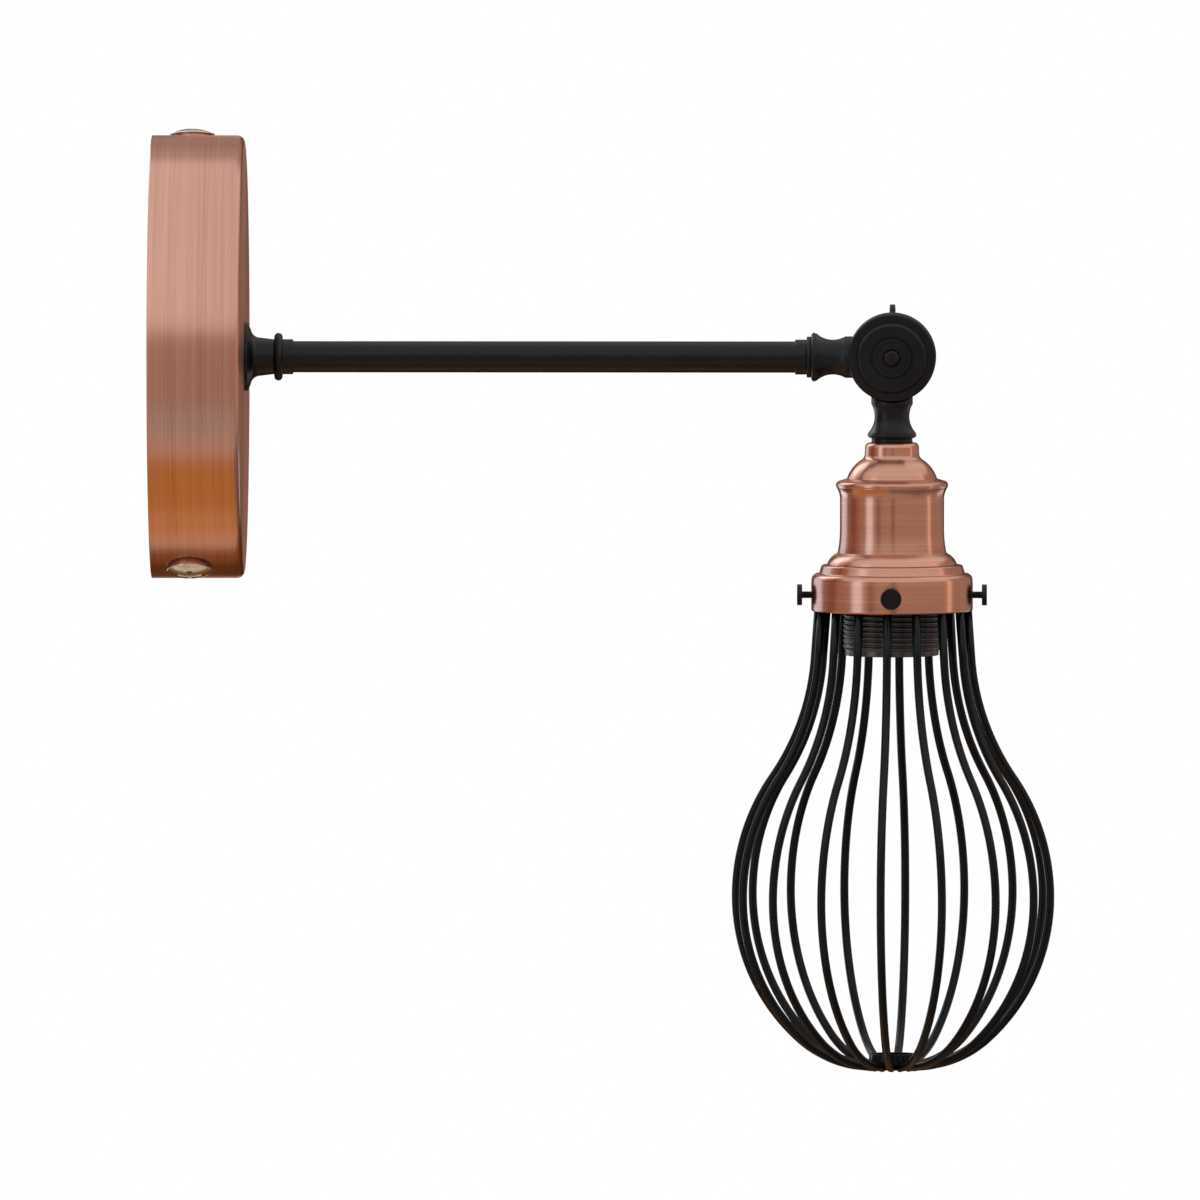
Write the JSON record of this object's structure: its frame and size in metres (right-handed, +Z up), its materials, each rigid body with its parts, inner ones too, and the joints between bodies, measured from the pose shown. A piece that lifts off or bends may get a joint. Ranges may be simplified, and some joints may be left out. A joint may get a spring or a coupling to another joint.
{
  "type": "cage wall light",
  "caption": "Wall light with a round rose, straight arm, swivel knuckle and a lampholder inside a bulb-shaped wire cage.",
  "frame": {"origin": "on the wall, at the middle of the two wall screw holes and so at the centre of the rose", "axes": "+X away from the wall along the arm, +Z up, +Y to the right of someone who faces the wall; the knuckle turns about Y"},
  "size_m": [0.3339, 0.164, 0.3476],
  "materials": {
    "copper": "brushed, copper plated",
    "black_metal": "satin",
    "dark_pin": "blackened, satin",
    "zinc_steel": "zinc plated",
    "polished_screws": "polished",
    "brass": "satin",
    "black_plastic": "moulded",
    "block_plastic": "moulded",
    "fibre": "pressed fibre",
    "wire_sheath": "soft sheath"
  },
  "bodies": {
    "wall_arm": {"wall_plate": "zinc_steel", "wall_rose": "copper", "side_screws": "polished_screws", "side_spacers": "copper", "earth_screw": "brass", "connection_block": "block_plastic", "connection_tubes": "brass", "connection_screws": "zinc_steel", "rose_nipple": "zinc_steel", "rose_nut": "zinc_steel", "rose_washer": "zinc_steel", "arm_flange": "black_metal", "arm_bead": "black_metal", "arm_tube": "black_metal", "arm_ferrule": "black_metal", "arm_lock_ring": "black_metal", "knuckle_nipple": "zinc_steel", "knuckle_arm_half": "black_metal", "knuckle_cap": "black_metal", "knuckle_bolt": "dark_pin", "friction_ring": "fibre", "spring_washer": "zinc_steel", "earth_wire": "wire_sheath", "arm_wires": "wire_sheath"},
    "head": {"knuckle_head_half": "black_metal", "head_lock_ring": "black_metal", "head_nipple": "zinc_steel", "holder_cap": "copper", "holder_body": "copper", "gallery": "copper", "lampholder_cap": "black_plastic", "lampholder_skirt": "black_plastic", "shade_ring": "black_plastic", "screw_shell": "brass", "centre_contact": "brass", "lampholder_terminals": "brass", "terminal_screws": "zinc_steel", "head_wires": "wire_sheath"},
    "wing_nut": {"wing_nut": "black_metal"},
    "front_thumb_screw": {"thumb_screw_front": "black_metal"},
    "right_thumb_screw": {"thumb_screw_right": "black_metal"},
    "rear_thumb_screw": {"thumb_screw_rear": "black_metal"},
    "left_thumb_screw": {"thumb_screw_left": "black_metal"},
    "cage": {"cage_collar": "black_metal", "cage_wires": "black_metal", "cage_foot_ring": "black_metal"}
  },
  "joints": [
    {"name": "head_tilt", "type": "hinge", "parent": "wall_arm", "child": "head", "pos_m": [0.2741, 0, 0], "axis": [0, -1, 0], "range_deg": [-34, 180]},
    {"name": "wing_nut_turn", "type": "hinge", "parent": "wall_arm", "child": "wing_nut", "pos_m": [0.2741, 0.013, 0], "axis": [0, 1, 0], "continuous": true},
    {"name": "front_thumb_screw_back_off", "type": "slide", "parent": "head", "child": "front_thumb_screw", "axis": [0, -1, 0], "range_m": [0, 0.003]},
    {"name": "right_thumb_screw_back_off", "type": "slide", "parent": "head", "child": "right_thumb_screw", "axis": [1, 0, 0], "range_m": [0, 0.003]},
    {"name": "rear_thumb_screw_back_off", "type": "slide", "parent": "head", "child": "rear_thumb_screw", "axis": [0, 1, 0], "range_m": [0, 0.003]},
    {"name": "left_thumb_screw_back_off", "type": "slide", "parent": "head", "child": "left_thumb_screw", "axis": [-1, 0, 0], "range_m": [0, 0.003]},
    {"name": "cage_release", "type": "slide", "parent": "head", "child": "cage", "axis": [0, 0, -1], "range_m": [0, 0.014]}
  ]
}
